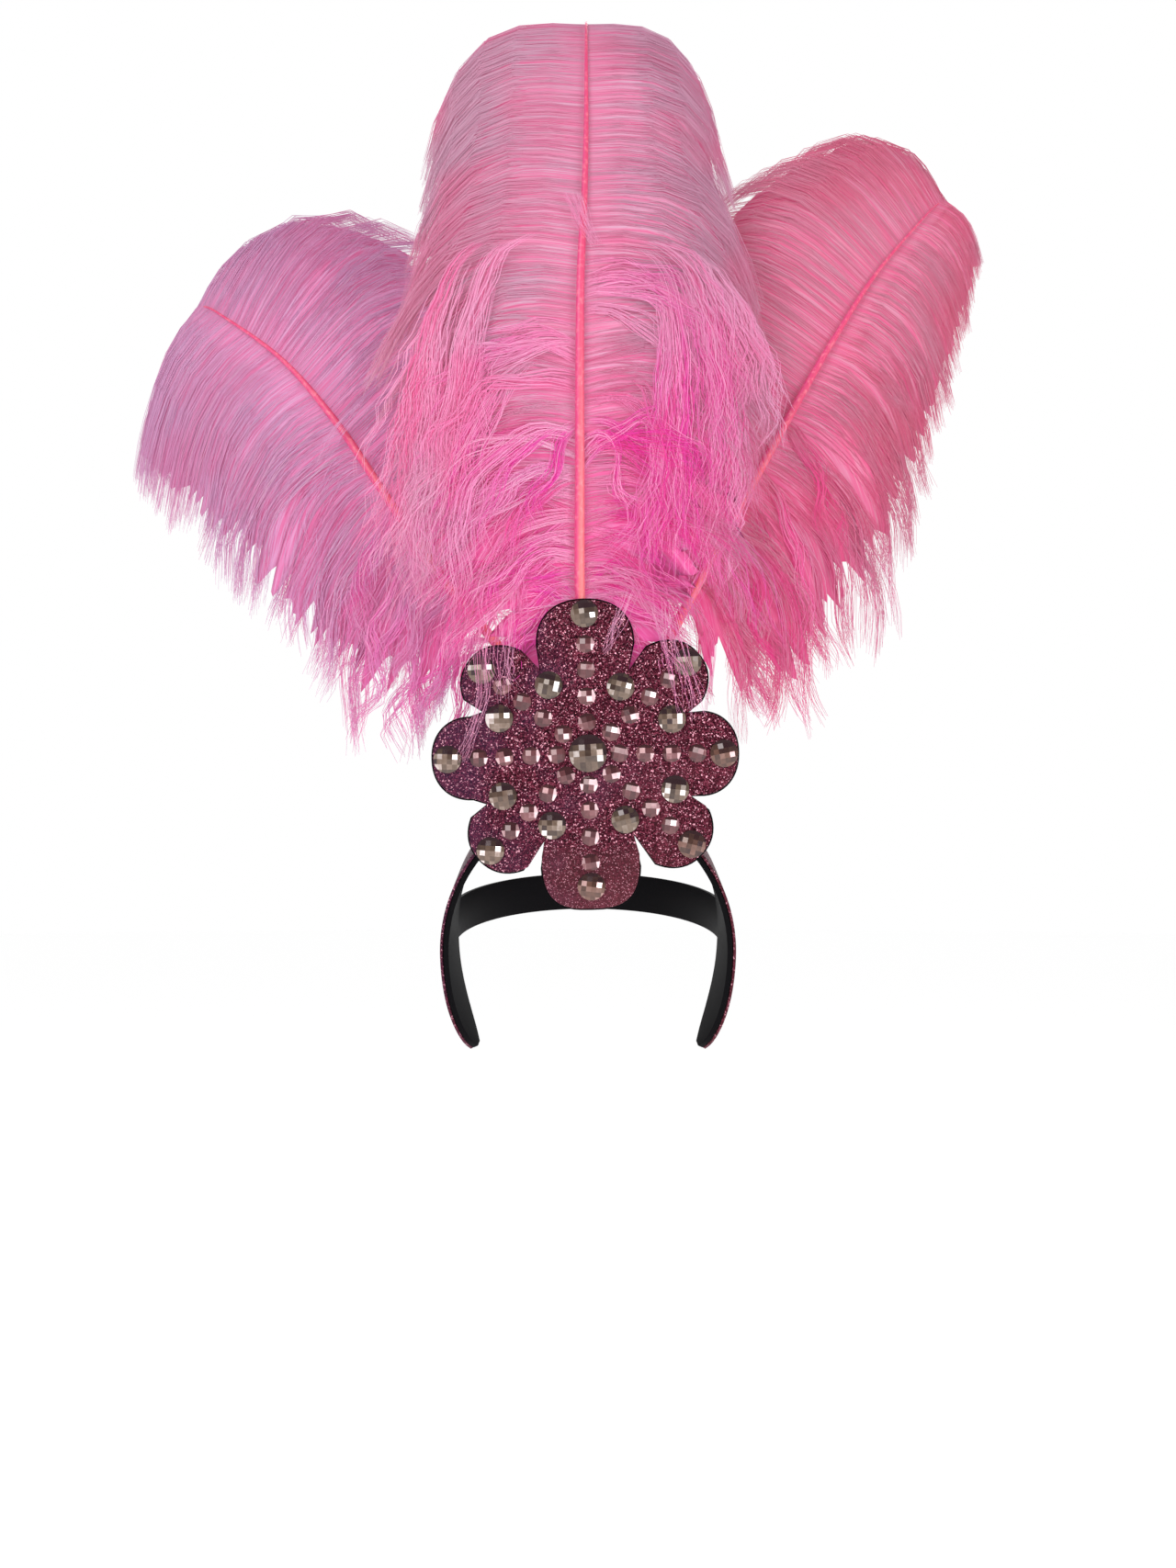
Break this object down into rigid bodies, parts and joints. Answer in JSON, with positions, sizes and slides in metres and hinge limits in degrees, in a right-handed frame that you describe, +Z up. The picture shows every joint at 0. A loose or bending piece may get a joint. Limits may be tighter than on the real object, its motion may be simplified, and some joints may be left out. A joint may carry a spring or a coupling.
{
  "type": "rhinestone headdress",
  "caption": "Stage headdress: a glitter flower plate set with domed stones on a head arch with a back strap, and ostrich plumes that rise behind it.",
  "frame": {"origin": "on the under side of the head arch at its top, midway along its depth, where it sits on the head", "axes": "+Z up, along the centre plume; the flower faces -Y; +X to the right as seen from the front"},
  "size_m": [0.4984, 0.2086, 0.5936],
  "materials": {
    "glitter_foam": "coarse mauve-pink glitter on foam",
    "black_foam": "matt black foam",
    "black_lining": "matt black fabric-faced foam",
    "acrylic_stone": "polished pale pink acrylic, checker-cut dome on a foil back",
    "plume_quill": "dyed coral-pink feather shaft",
    "plume_barbs": "dyed candy-pink ostrich barbs"
  },
  "bodies": {
    "root": {"flower_face": "glitter_foam", "flower_backing": "black_foam", "headband_shell": "glitter_foam", "headband_lining": "black_lining", "back_strap": "black_lining", "centre_quill": "plume_quill", "left_quill": "plume_quill", "right_quill": "plume_quill", "centre_plume": "plume_barbs", "left_plume": "plume_barbs", "right_plume": "plume_barbs", "centre_stone": "acrylic_stone", "tip_stone_1": "acrylic_stone", "tip_stone_2": "acrylic_stone", "tip_stone_3": "acrylic_stone", "tip_stone_4": "acrylic_stone", "tip_stone_5": "acrylic_stone", "tip_stone_6": "acrylic_stone", "tip_stone_7": "acrylic_stone", "tip_stone_8": "acrylic_stone", "notch_stone_1": "acrylic_stone", "notch_stone_2": "acrylic_stone", "notch_stone_3": "acrylic_stone", "notch_stone_4": "acrylic_stone", "notch_stone_5": "acrylic_stone", "notch_stone_6": "acrylic_stone", "notch_stone_7": "acrylic_stone", "notch_stone_8": "acrylic_stone"}
  },
  "joints": []
}
